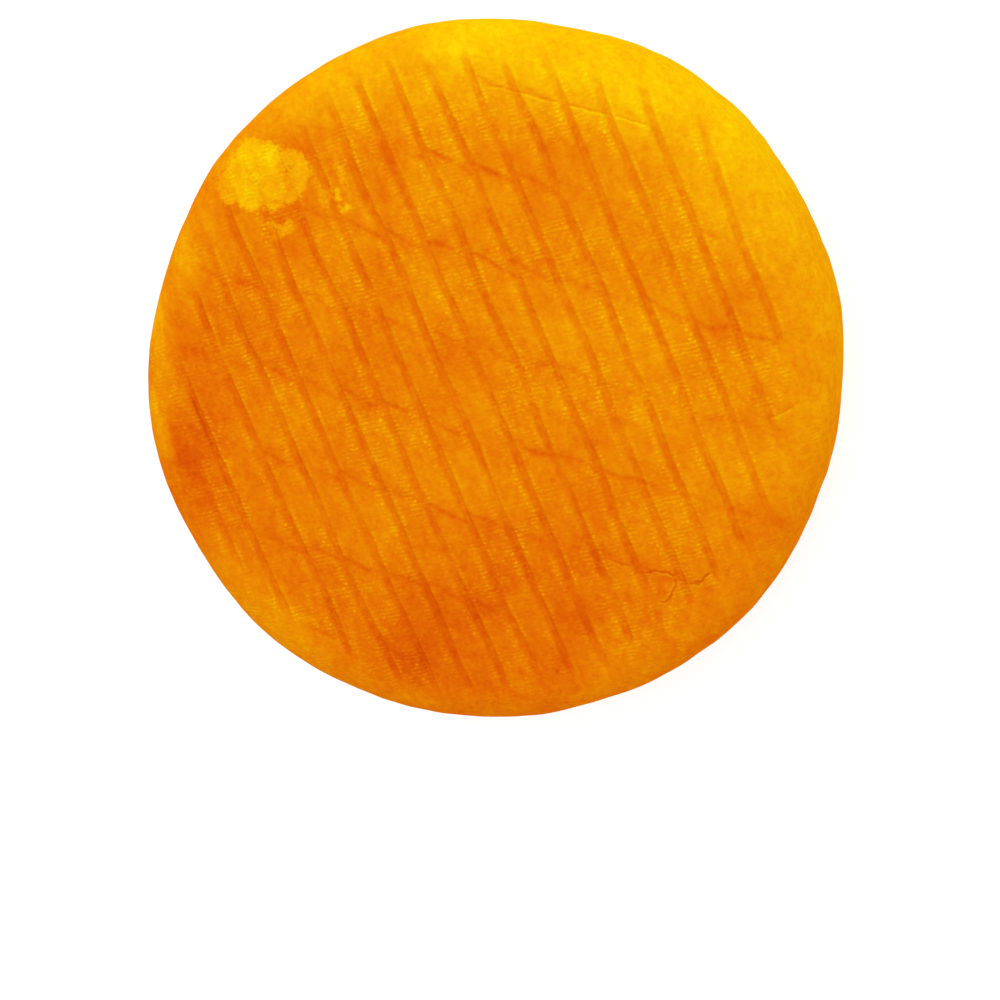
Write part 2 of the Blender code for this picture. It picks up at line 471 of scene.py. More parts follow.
@dataclass(frozen=True)
class Wash:
    """How thick the orange wash lies: thinner towards the rim, most of all on one side of it, where painted
    light also makes the rind yellower.
    """

    face_level: float = 127.5
    # Yellower towards one side and its rim: partly a thinner wash, partly painted light on the side that
    # faces the light
    lean_yellow_and_light: float = 13.0
    lean_heading: float = 62.0
    crescent_yellow_and_light: float = 52.0
    crescent_heading: float = 69.0
    crescent_spread: float = 60.0
    crescent_start: float = 0.69
    crescent_end: float = 0.95
    drift: Unevenness = Unevenness(3.2, 0.045, 41)
    blots: tuple[Oval, ...] = (
        Oval(-0.0130, -0.0760, 0.034, 0.020, 20.0, -18.0),
        Oval(-0.0846, -0.0240, 0.024, 0.010, 110.0, -20.0),
        Oval(0.0076, -0.0450, 0.016, 0.010, 160.0, -10.0),
        Oval(-0.0216, 0.0630, 0.004, 0.002, 112.0, -18.0),
        Oval(-0.0720, 0.0530, 0.006, 0.004, 112.0, -18.0),
        Oval(-0.0500, 0.0680, 0.012, 0.005, 150.0, -22.0),
        Oval(-0.0535, 0.0475, 0.004, 0.003, 0.0, -14.0),
        Oval(-0.0938, 0.0165, 0.016, 0.0040, 100.0, 44.0),
        Oval(-0.0940, -0.0080, 0.009, 0.0040, 95.0, 34.0),
        Oval(-0.0915, -0.0185, 0.009, 0.0035, 105.0, 28.0),
        Oval(-0.0853, 0.0401, 0.010, 0.0035, 115.0, 18.0),
        Oval(-0.0841, 0.0071, 0.016, 0.0060, 105.0, -12.0),
        Oval(-0.0214, -0.0908, 0.014, 0.005, -13.0, 22.0),
        Oval(-0.0467, 0.0798, 0.014, 0.006, 30.0, 14.0),
        Oval(-0.0415, -0.0470, 0.020, 0.014, 112.0, 13.0),
        Oval(-0.0322, -0.0177, 0.020, 0.012, 112.0, 7.0),
        Oval(0.0078, -0.0266, 0.008, 0.006, 112.0, 15.0),
        Oval(0.0331, -0.0358, 0.010, 0.008, 112.0, 14.0),
        Oval(0.0821, -0.0347, 0.010, 0.008, 112.0, -14.0),
        Oval(-0.0765, 0.0475, 0.007, 0.0015, 115.0, 16.0),
        Oval(-0.0560, -0.0720, 0.036, 0.010, 140.0, 27.0),
        Oval(0.0500, 0.0020, 0.034, 0.020, 110.0, 11.0),
        Oval(-0.0740, 0.0400, 0.030, 0.010, 112.0, -6.0),
        Oval(-0.0468, 0.0019, 0.010, 0.007, 112.0, -16.0),
        Oval(0.0700, 0.0560, 0.014, 0.008, 112.0, -12.0),
        Oval(0.0374, -0.0458, 0.008, 0.008, 112.0, -12.0),
        Oval(0.0426, 0.0784, 0.012, 0.006, -15.0, 12.0),
        Oval(-0.0094, 0.0979, 0.014, 0.006, 0.0, 14.0),
        Oval(-0.0860, -0.0210, 0.016, 0.0016, 112.0, -12.0),
        Oval(0.0500, -0.0530, 0.020, 0.012, 0.0, -8.0),
        Oval(0.0860, 0.0560, 0.030, 0.007, 125.0, 12.0),
    )

    def level(self, x: np.ndarray, y: np.ndarray, radius: float, spotted: np.ndarray) -> np.ndarray:
        """Level of the rind.

        Args:
            x: Places along X.
            y: Places along Y.
            radius: The wheel's radius.
            spotted: How much of the blots shows, from 0 to 1.

        Returns:
            The level, from 0 to 255.
        """
        share = np.hypot(x, y) / radius
        heading = np.degrees(np.arctan2(y, x))
        off = (heading - self.crescent_heading + 180.0) % 360.0 - 180.0
        level = self.face_level + self.drift.at(x, y)
        # Yellower towards the lit side and its rim: partly a thinner wash, partly painted light
        level = level + self.lean_yellow_and_light * along_normal(x, y, self.lean_heading) / radius
        near_rim = smooth_step(self.crescent_start, self.crescent_end, share)
        level = level + self.crescent_yellow_and_light * bell(off, self.crescent_spread) * near_rim
        return level + spotted * sum(blot.change(x, y) for blot in self.blots)


@dataclass(frozen=True)
class RubbedPatch:
    """A place where the wash is rubbed away: ragged ovals of yellow rind, very slightly sunk."""

    ovals: tuple[Oval, ...] = (
        Oval(-0.0566, 0.0636, 0.0052, 0.0044, 112.0, 200.0),
        Oval(-0.0634, 0.0554, 0.0056, 0.0044, 112.0, 184.0),
        Oval(-0.0613, 0.0632, 0.0070, 0.0060, 112.0, 185.0),
        Oval(-0.0648, 0.0588, 0.0070, 0.0056, 112.0, 174.0),
        Oval(-0.0512, 0.0602, 0.0070, 0.0064, 112.0, 162.0),
        Oval(-0.0560, 0.0564, 0.0066, 0.0068, 112.0, 168.0),
        Oval(-0.0696, 0.0559, 0.0040, 0.0036, 112.0, 158.0),
        Oval(-0.0518, 0.0545, 0.0058, 0.0030, 8.0, 163.0),
        Oval(-0.0560, 0.0440, 0.0024, 0.0011, 112.0, 157.0),
        Oval(-0.0520, 0.0440, 0.0030, 0.0018, 20.0, 158.0),
        Oval(-0.0405, 0.0528, 0.0026, 0.0014, 112.0, 154.0),
        Oval(-0.0370, 0.0534, 0.0024, 0.0012, 100.0, 190.0),
        Oval(-0.0344, 0.0498, 0.0020, 0.0011, 30.0, 174.0),
        Oval(-0.0352, 0.0590, 0.0052, 0.0010, 112.0, 154.0),
        Oval(-0.0722, -0.0218, 0.0014, 0.0009, 20.0, 156.0),
    )
    softness: float = 0.0035
    blend: float = 5.0
    blend_end: float = -3.0
    least_weight: float = 1e-9
    sink: float = 0.00010
    sink_start: float = -0.1
    sink_end: float = 0.3

    def read(self, x: np.ndarray, y: np.ndarray) -> tuple[np.ndarray, np.ndarray]:
        """Read the patch.

        Args:
            x: Places along X.
            y: Places along Y.

        Returns:
            How far inside points are, as a share of the softness (0 at an oval's edge), and the
            level of the rubbed rind there.
        """
        deepest = np.full_like(x, -1.0)
        weight = np.full_like(x, self.least_weight)
        summed = weight * self.ovals[0].value
        for oval in self.ovals:
            narrow = min(oval.length, oval.width) / self.softness
            inside = (1.0 - np.hypot(*oval.shares(x, y))) * narrow
            share = np.exp(self.blend * np.maximum(inside, self.blend_end))
            weight, summed = weight + share, summed + share * oval.value
            deepest = np.maximum(deepest, inside)
        return deepest, summed / weight


@dataclass(frozen=True)
class WheelForm:
    """The wheel's own form, as its solid has it: a turned body, a little out of round."""

    diameter: float = 0.1984
    height: float = 0.045
    belly_level: float = 0.023
    upper_shoulder: float = 0.0090
    upper_turn: float = 78.0
    lower_shoulder: float = 0.0100
    lower_turn: float = 72.0
    crowding: float = 0.025
    crowding_end: float = 0.85
    panel_crown: float = 0.00015
    roll_off: float = 0.0016
    roll_off_start: float = 0.80
    roll_off_heading: float = 15.0
    outline_waves: tuple[tuple[int, float, float], ...] = (
        (1, 0.0010, 18.0),
        (2, 0.0014, 45.0),
        (3, 0.0002, -32.0),
        (4, 0.0003, 36.0),
        (5, 0.0003, 38.0),
        (6, 0.0002, 7.0),
        (8, 0.0004, 7.0),
        (9, 0.00015, -17.0),
    )
    outline_power: int = 6
    hills: tuple[tuple[float, float, float, float], ...] = (
        (0.00025, 0.130, 20.0, 40.0),
        (0.00020, 0.085, 105.0, 250.0),
        (0.00012, 0.055, 160.0, 120.0),
    )
    segments: int = 480
    shoulder_steps: int = 14
    bulge_steps: int = 9
    face_depth: float = 0.006
    face_skin: float = 0.0005
    wall_levels: Triple = (0.036, 0.0445, 0.008)
    calm_levels: Triple = (0.020, 0.038, 0.010)
    cloth_spread_start: float = 0.8
    least_radius: float = 0.05

    @property
    def radius(self) -> float:
        """Widest radius of the turned body."""
        return self.diameter / 2.0

    def half_side(self, shoulder: float, turn: float, rise: float) -> list[tuple[float, float]]:
        """Lay out one half of the side, from the belly to the flat's edge.

        Args:
            shoulder: Radius of the shoulder's arc.
            turn: How far that arc turns.
            rise: Height of this half.

        Returns:
            Points: how far inside the widest radius, and how far from the belly level.
        """
        last = math.radians(90.0 - turn)
        bulge = (rise - shoulder * (1.0 - math.sin(last))) / math.sin(last)
        bends = [last * step / self.bulge_steps for step in range(self.bulge_steps)]
        points = [(bulge * (1.0 - math.cos(bend)), bulge * math.sin(bend)) for bend in bends]
        inside, away = bulge * (1.0 - math.cos(last)), bulge * math.sin(last)
        for step in range(self.shoulder_steps + 1):
            bend = last + (0.5 * math.pi - last) * step / self.shoulder_steps
            further_in = shoulder * (math.cos(last) - math.cos(bend))
            further_away = shoulder * (math.sin(bend) - math.sin(last))
            points.append((inside + further_in, away + further_away))
        return points

    def side_profile(self) -> list[tuple[float, float]]:
        """Lay out the whole side.

        Returns:
            Radius and level of its points, from the upper flat's edge to the lower one's.
        """
        upper = self.half_side(self.upper_shoulder, self.upper_turn, self.height - self.belly_level)
        lower = self.half_side(self.lower_shoulder, self.lower_turn, self.belly_level)
        points = [(self.radius - inside, self.belly_level + away) for inside, away in reversed(upper)]
        return points + [(self.radius - inside, self.belly_level - away) for inside, away in lower[1:]]

    def outline_place(self, x: np.ndarray, y: np.ndarray) -> tuple[np.ndarray, np.ndarray]:
        """Move points to where they lie on the real wheel.

        Args:
            x: Places along X on the true circle, with evenly spaced marks.
            y: Places along Y.

        Returns:
            The places on the wheel, whose marks crowd towards a rim that is out of round.
        """
        radial, angle = np.hypot(x, y), np.arctan2(y, x)
        share = radial / self.radius
        crowd = self.crowding * share**2 * (1.0 - smooth_step(self.crowding_end, 1.0, share))
        gain = sum(
            height * np.cos(count * (angle - math.radians(crest)))
            for count, height, crest in self.outline_waves
        )
        grown = radial * (1.0 - crowd) + gain * share**self.outline_power
        return grown * np.cos(angle), grown * np.sin(angle)

    def hill_height(self, x: np.ndarray, y: np.ndarray) -> np.ndarray:
        """Height of the low hills of the upper face."""
        return sum(
            size * np.sin(2.0 * math.pi * along_normal(x, y, heading) / length + math.radians(start))
            for size, length, heading, start in self.hills
        )

    def side_share(self, z: np.ndarray, levels: Triple) -> np.ndarray:
        """How far points belong to the side.

        Args:
            z: Their levels.
            levels: Where the upper half of the side is whole, where it starts, and where the
                lower half is whole.

        Returns:
            1 on the side, 0 on both faces.
        """
        whole, start, foot = levels
        from_top = 1.0 - smooth_step(whole, start, z)
        return np.where(z > self.belly_level, from_top, smooth_step(0.0, foot, z))

    def rim_drop(self, x: np.ndarray, y: np.ndarray) -> np.ndarray:
        """How far the upper face drops towards the rim on its soft side."""
        facing = 0.5 + 0.5 * np.cos(np.arctan2(y, x) - math.radians(self.roll_off_heading))
        return self.roll_off * facing * smooth_step(self.roll_off_start, 1.0, np.hypot(x, y) / self.radius)


@dataclass(frozen=True)
class FacePlan:
    """How one face is marked and cut: where its marks start, how far they reach, how finely."""

    long_offset: float
    cross_offset: float
    strays: tuple[tuple[int, float], ...]
    long_shares: tuple[float, ...]
    cross_shares: tuple[float, ...]
    reach: float = 0.910
    reach_wave: float = 0.015
    reach_crest: float = 55.0
    reach_shift: float = 0.012
    fade: float = 0.045


@dataclass
class Reading:
    """What the rind's finish reads at each point of the mesh."""

    # The level holds painted light too: the yellower lit side and the brighter lips of the splits
    level: np.ndarray
    mark: np.ndarray
    lip: np.ndarray
    line: np.ndarray
    # How far the splits' slots are painted darker: dark red staining and painted shade
    split: np.ndarray
    patch: np.ndarray
    rubbed: np.ndarray
    side: np.ndarray
    cloth: np.ndarray


# The readings of one value a point; the cloth's place has three
READ_NAMES = tuple(field.name for field in fields(Reading) if field.name != "cloth")


class Bench:
    """Places the nodes of one tree and joins them, so that a finish reads as a list of steps."""

    def __init__(self, tree: bpy.types.NodeTree) -> None:
        """Work on this tree."""
        self.tree = tree

    def feed(self, socket: bpy.types.NodeSocket, value: object) -> None:
        """Join an output to an input, or set the input's own value.

        Args:
            socket: The input.
            value: The output or the value.
        """
        if isinstance(value, bpy.types.NodeSocket):
            self.tree.links.new(value, socket)
        else:
            socket.default_value = value

    def place(
        self, kind: str, inputs: dict[str | int, object] | None = None, **settings: object
    ) -> bpy.types.Node:
        """Add a node.

        Args:
            kind: The node's type name.
            inputs: What its inputs get, each by name or number.
            settings: Properties to set on it first.

        Returns:
            The node.
        """
        node = self.tree.nodes.new(kind)
        for name, value in settings.items():
            setattr(node, name, value)
        for name, value in (inputs or {}).items():
            self.feed(node.inputs[name], value)
        return node

    def math(self, operation: str, first: object, second: object = 0.0) -> object:
        """One step of arithmetic with values and outputs."""
        return self.place("ShaderNodeMath", {0: first, 1: second}, operation=operation).outputs[0]

    def total(self, *values: object) -> object:
        """Add values and outputs together."""
        return reduce(partial(self.math, "ADD"), values)

    def product(self, *values: object) -> object:
        """Multiply values and outputs together."""
        return reduce(partial(self.math, "MULTIPLY"), values)

    def blend(self, factor: object, first: object, second: object, kind: str = "FLOAT") -> object:
        """Go over from one value, or one colour, to another as the factor rises from 0 to 1."""
        inputs = {"Factor": factor, "A": first, "B": second}
        return self.place("ShaderNodeMix", inputs, data_type=kind).outputs["Result"]

    def span(self, value: object, low: float, high: float, *becomes: float) -> object:
        """Carry a value smoothly from one range to another, which is 0 to 1 unless it is given."""
        inputs = dict(enumerate((value, low, high, *becomes)))
        return self.place("ShaderNodeMapRange", inputs, interpolation_type="SMOOTHSTEP").outputs["Result"]

    def noise(self, vector: object, scale: object, detail: float = 2.0) -> object:
        """Cloudy noise from -0.5 to 0.5: so many clouds in one unit, so many finer layers."""
        inputs = {"Vector": vector, "Scale": scale, "Detail": detail}
        return self.total(self.place("ShaderNodeTexNoise", inputs, normalize=True).outputs[0], -0.5)

    def axes(self, vector: object) -> bpy.types.NodeOutputs:
        """X, Y and Z of a place."""
        return self.place("ShaderNodeSeparateXYZ", {0: vector}).outputs

    def scaled(self, vector: object, size: Triple) -> object:
        """Scale a place along each axis."""
        inputs = {"Vector": vector, "Scale": size}
        return self.place("ShaderNodeMapping", inputs, vector_type="POINT").outputs["Vector"]

    def group(self, tree: bpy.types.NodeTree, **inputs: object) -> bpy.types.Node:
        """Place a node group and feed its named inputs."""
        return self.place("ShaderNodeGroup", inputs, node_tree=tree)


def new_group(name: str, inputs: dict[str, str], outputs: dict[str, str]) -> bpy.types.NodeTree:
    """Start a shader node group.

    Args:
        name: The group's name.
        inputs: Its input sockets, each name with its socket type.
        outputs: Its output sockets, in the same way.

    Returns:
        The group's tree, with its input and output nodes in place.
    """
    tree = bpy.data.node_groups.new(name, "ShaderNodeTree")
    for way, sockets in (("INPUT", inputs), ("OUTPUT", outputs)):
        for label, kind in sockets.items():
            tree.interface.new_socket(label, in_out=way, socket_type=kind)
    tree.nodes.new("NodeGroupInput")
    tree.nodes.new("NodeGroupOutput")
    return tree


# Layers of finer clouds in the mottling
CLOUD_DETAIL = 1.6


def mottle_group() -> bpy.types.NodeTree:
    """Build the effect that clouds a surface.

    Returns:
        A group that reads a place and a scale and puts out a value around 0.
    """
    tree = new_group(
        "mottle",
        {"Place": "NodeSocketVector", "Scale": "NodeSocketFloat", "Amount": "NodeSocketFloat"},
        {"Value": "NodeSocketFloat"},
    )
    bench = Bench(tree)
    given, out = tree.nodes["Group Input"], tree.nodes["Group Output"]
    cloud = bench.noise(given.outputs["Place"], given.outputs["Scale"], CLOUD_DETAIL)
    bench.feed(out.inputs["Value"], bench.product(cloud, given.outputs["Amount"]))
    return tree


@dataclass(frozen=True)
class ClothImprint:
    """What a coarse cloth leaves on the rind: bars along the weft, and beads where threads cross."""

    names: tuple[str, ...] = ("Beads", "Bars", "Rows", "Height")
    sways: tuple[Triple, ...] = ((0.30, 1.0, 1.0), (0.9, 0.0, 0.6))
    pressed_size: Triple = (0.36, 0.20, 1.0)
    pressed_range: tuple[float, float] = (-0.06, 0.14)
    tuft_size: Triple = (0.50, 0.50, 1.0)
    tuft_range: tuple[float, float] = (-0.10, 0.12)
    bead_range: tuple[float, float] = (0.10, 0.95)
    weave_height: float = 0.25

    def group(self) -> bpy.types.NodeTree:
        """Build the imprint.

        Returns:
            A group that reads the two thread counts and a place, and puts out beads where threads
            cross, bars along the weft, the same bars where the cloth pressed, and their height.
        """
        tree = new_group(
            "cloth_imprint",
            {"Weft": "NodeSocketFloat", "Warp": "NodeSocketFloat", "Place": "NodeSocketVector"},
            {name: "NodeSocketFloat" for name in self.names},
        )
        bench = Bench(tree)
        given, out = tree.nodes["Group Input"], tree.nodes["Group Output"]
        place = given.outputs["Place"]
        sways = [
            bench.product(bench.noise(place, scale, detail), amount)
            for scale, detail, amount in self.sways
        ]
        waves = []
        for name in ("Weft", "Warp"):
            count = bench.total(given.outputs[name], *sways)
            waves.append(bench.math("COSINE", bench.product(count, math.pi)))
        over = bench.product(*waves)
        bars = bench.product(waves[0], waves[0])
        pressed = bench.noise(bench.scaled(place, self.pressed_size), 1.0, 1.0)
        tufts = bench.noise(bench.scaled(place, self.tuft_size), 1.0, 0.0)
        rows = bench.product(bars, bench.span(pressed, *self.pressed_range))
        beads = bench.product(bench.span(over, *self.bead_range), bench.span(tufts, *self.tuft_range))
        height = bench.total(bench.product(over, self.weave_height), rows)
        for name, value in zip(self.names, (beads, bars, rows, height)):
            bench.feed(out.inputs[name], value)
        return tree


@dataclass(frozen=True)
class Clouds:
    """Mottling of one size: how many clouds fit in a millimetre, and how much they change."""

    scale: float
    amount: float


class RindBench(Bench):
    """The rind's bench, with what all its steps read: places, the mesh's attributes, mottling."""

    def __init__(self, tree: bpy.types.NodeTree) -> None:
        """Work on the rind's tree.

        Args:
            tree: The tree.
        """
        super().__init__(tree)
        here = self.place("ShaderNodeTexCoord").outputs["Object"]
        self.millimetres = self.scaled(here, (MILLIMETRES,) * 3)
        self.cloth = self.place("ShaderNodeAttribute", attribute_name="cloth").outputs["Vector"]
        self.read = {
            name: self.place("ShaderNodeAttribute", attribute_name=name).outputs["Fac"]
            for name in READ_NAMES
        }
        self.mottle = mottle_group()

    def clouds(self, *sizes: Clouds, place: object = None) -> object:
        """Mottle by clouds of one or more sizes.

        Args:
            sizes: The sizes of clouds.
            place: The place to read them at, or None for the object's own place.

        Returns:
            The output that holds their sum, around zero.
        """
        here = self.millimetres if place is None else place
        nodes = [
            self.group(self.mottle, Place=here, Scale=size.scale, Amount=size.amount) for size in sizes
        ]
        return self.total(*[node.outputs["Value"] for node in nodes])


@dataclass(frozen=True)
class RindFinish:
    """Washed orange rind: its colours by level, the cloth's imprint and mottling, with no specular sheen.
    """

    roughness: float = 0.50
    roughness_clouds: tuple[Clouds, ...] = (Clouds(0.5, 0.25), Clouds(1.5, 0.15))
    specular: float = 0.0
    exposure: float = 1.06
    imprint: ClothImprint = ClothImprint()
    weft_pitch: float = 1.22
    warp_pitch: float = 1.06
    weft_normal: float = 104.0
    side_threads: int = 628
    cover_scale: float = 0.06
    cover_range: tuple[float, ...] = (-0.08, 0.12, 0.15, 1.0)
    cover_fade: tuple[float, ...] = (0.58, 0.68, 1.0, 0.10)
    row_gain: float = 0.080
    bead_gain: float = 0.045
    knot_bead: float = 0.07
    knot_bar: float = 0.045
    lip_gain: float = 0.010
    line_gain: float = 0.013
    level_shift: float = -0.006
    broad_clouds: tuple[Clouds, ...] = (Clouds(0.045, 0.09), Clouds(0.16, 0.10))
    fine_clouds: tuple[Clouds, ...] = (Clouds(0.45, 0.12), Clouds(0.85, 0.11))
    streaks: Clouds = Clouds(0.40, 0.11)
    streak_size: Triple = (1.0, 0.35, 1.0)
    mark_level: float = 0.52
    mark_slope: float = 0.13
    mark_drop: float = 0.053
    mark_clouds: Clouds = Clouds(0.55, 2.4)
    patch_edge: tuple[float, float] = (-0.24, 0.30)
    patch_edge_clouds: tuple[Clouds, ...] = (Clouds(0.30, 1.0), Clouds(1.0, 0.7))
    patch_clouds: tuple[Clouds, ...] = (Clouds(0.14, 0.16), Clouds(0.5, 0.16), Clouds(1.2, 0.14))
    patch_mark_drop: float = 0.030
    cloth_depth: float = 0.09
    cloth_side_depth: float = 0.05
    lump_clouds: tuple[Clouds, ...] = (Clouds(0.6, 0.45), Clouds(1.3, 0.11))
    # Colour that the splits' slots are painted: dark red staining with painted shade
    split_stain_and_shade_colour: tuple[int, int, int] = (205, 62, 2)
    colours: tuple[tuple[int, int, int], ...] = (
        (214, 78, 5),
        (226, 100, 5),
        (232, 118, 5),
        (236, 134, 5),
        (240, 150, 5),
        (245, 172, 5),
        (248, 196, 4),
        (251, 220, 12),
    )

    def on_surface(self, colour: tuple[int, int, int]) -> Colour:
        """Surface colour that shows this colour on screen under the studio's light."""
        linear = Color([channel / FULL_LEVEL for channel in colour]).from_srgb_to_scene_linear()
        return (*(linear / self.exposure), 1.0)

    def level_ramp(self, bench: Bench, level: object) -> object:
        """Give each level its colour.

        Args:
            bench: The material's bench.
            level: The output that holds the level's share of 255.

        Returns:
            The colour output.
        """
        node = bench.place("ShaderNodeValToRGB", {"Fac": level})
        steps = node.color_ramp.elements
        while len(steps) < len(self.colours):
            steps.new(0.5)
        for step, colour in zip(steps, self.colours):
            step.position = colour[1] / FULL_LEVEL
            step.color = self.on_surface(colour)
        return node.outputs["Color"]

    def weave(self, bench: RindBench) -> dict[str, object]:
        """Lay the cloth's imprint over the faces and round the side.

        Args:
            bench: The material's bench.

        Returns:
            The outputs of the imprint by name: Beads, Bars, Rows and Height.
        """
        threads = self.imprint.group()
        flat, whole = bench.axes(bench.cloth), bench.axes(bench.millimetres)
        angle = bench.math("ARCTAN2", whole["Y"], whole["X"])
        across = bench.math("DIVIDE", flat["X"], self.warp_pitch)
        around = bench.product(angle, self.side_threads / (2.0 * math.pi))
        face, upright = (
            bench.group(threads, Weft=bench.math("DIVIDE", rise, self.weft_pitch), Warp=warp, Place=place)
            for rise, warp, place in (
                (flat["Y"], across, bench.cloth),
                (whole["Z"], around, bench.millimetres),
            )
        )
        side = bench.read["side"]
        return {
            name: bench.blend(side, face.outputs[name], upright.outputs[name])
            for name in self.imprint.names
        }

    def cover(self, bench: RindBench) -> object:
        """How plainly the cloth shows: in broad patches, and hardly where the rind is yellow."""
        patches = bench.span(bench.noise(bench.millimetres, self.cover_scale), *self.cover_range)
        return bench.product(patches, bench.span(bench.read["level"], *self.cover_fade))

    def washed_level(
        self, bench: RindBench, weave: dict[str, object], cover: object, rows: object
    ) -> object:
        """Level of the washed rind: mottled, with the cloth's threads, and darker in the marks.

        Args:
            bench: The material's bench.
            weave: The imprint's outputs.
            cover: How plainly the cloth shows.
            rows: What the cloth's rows add to the level.

        Returns:
            The output that holds the level's share of 255.
        """
        beads = bench.product(weave["Beads"], cover, self.bead_gain)
        knots = bench.total(
            bench.product(weave["Beads"], self.knot_bead), bench.product(weave["Bars"], self.knot_bar)
        )
        lip = bench.product(bench.read["lip"], bench.total(knots, self.lip_gain))
        line = bench.product(bench.read["line"], bench.total(knots, self.line_gain))
        streaks = bench.clouds(self.streaks, place=bench.scaled(bench.cloth, self.streak_size))
        mottling = bench.total(
            bench.clouds(*self.broad_clouds), streaks, bench.clouds(*self.fine_clouds), self.level_shift
        )
        level = bench.total(bench.read["level"], mottling, rows, beads, lip, line)
        above = bench.total(level, -self.mark_level)
        drop = bench.total(bench.product(above, self.mark_slope), self.mark_drop)
        uneven = bench.total(1.0, bench.clouds(self.mark_clouds))
        return bench.math("SUBTRACT", level, bench.product(bench.read["mark"], uneven, drop))

    def rubbed_level(self, bench: RindBench, rows: object) -> object:
        """Level of the yellow rind that shows in the rubbed patch."""
        in_mark = bench.product(bench.read["mark"], -self.patch_mark_drop)
        return bench.total(bench.read["rubbed"], bench.clouds(*self.patch_clouds), rows, in_mark)

    def relief(self, bench: RindBench, weave: dict[str, object], cover: object) -> object:
        """Turn the cloth's imprint and the smallest lumps into a normal.

        Args:
            bench: The material's bench.
            weave: The imprint's outputs.
            cover: How plainly the cloth shows.

        Returns:
            The normal output.
        """
        depth = bench.blend(bench.read["side"], self.cloth_depth, self.cloth_side_depth)
        cloth = bench.product(weave["Height"], cover, depth)
        height = bench.total(cloth, bench.clouds(*self.lump_clouds))
        inputs = {"Strength": 1.0, "Distance": 1.0 / MILLIMETRES, "Height": height}
        return bench.place("ShaderNodeBump", inputs).outputs["Normal"]

    def material(self) -> bpy.types.Material:
        """Build the rind's material.

        Returns:
            The material.
        """
        made = bpy.data.materials.new("washed_rind")
        made.use_nodes = True
        bench = RindBench(made.node_tree)
        shader = made.node_tree.nodes["Principled BSDF"]
        weave, cover = self.weave(bench), self.cover(bench)
        rows = bench.product(weave["Rows"], cover, self.row_gain)
        ragged = bench.total(bench.read["patch"], bench.clouds(*self.patch_edge_clouds))
        level = bench.blend(
            bench.span(ragged, *self.patch_edge),
            self.washed_level(bench, weave, cover, rows),
            self.rubbed_level(bench, rows),
        )
        # The splits' slots are painted darker: partly staining, partly painted shade
        stain_and_shade = self.on_surface(self.split_stain_and_shade_colour)
        washed = self.level_ramp(bench, level)
        settings = {
            "Base Color": bench.blend(bench.read["split"], washed, stain_and_shade, kind="RGBA"),
            "Roughness": bench.total(self.roughness, bench.clouds(*self.roughness_clouds)),
            "Specular IOR Level": self.specular,
            "Normal": self.relief(bench, weave, cover),
        }
        for name, value in settings.items():
            bench.feed(shader.inputs[name], value)
        return made


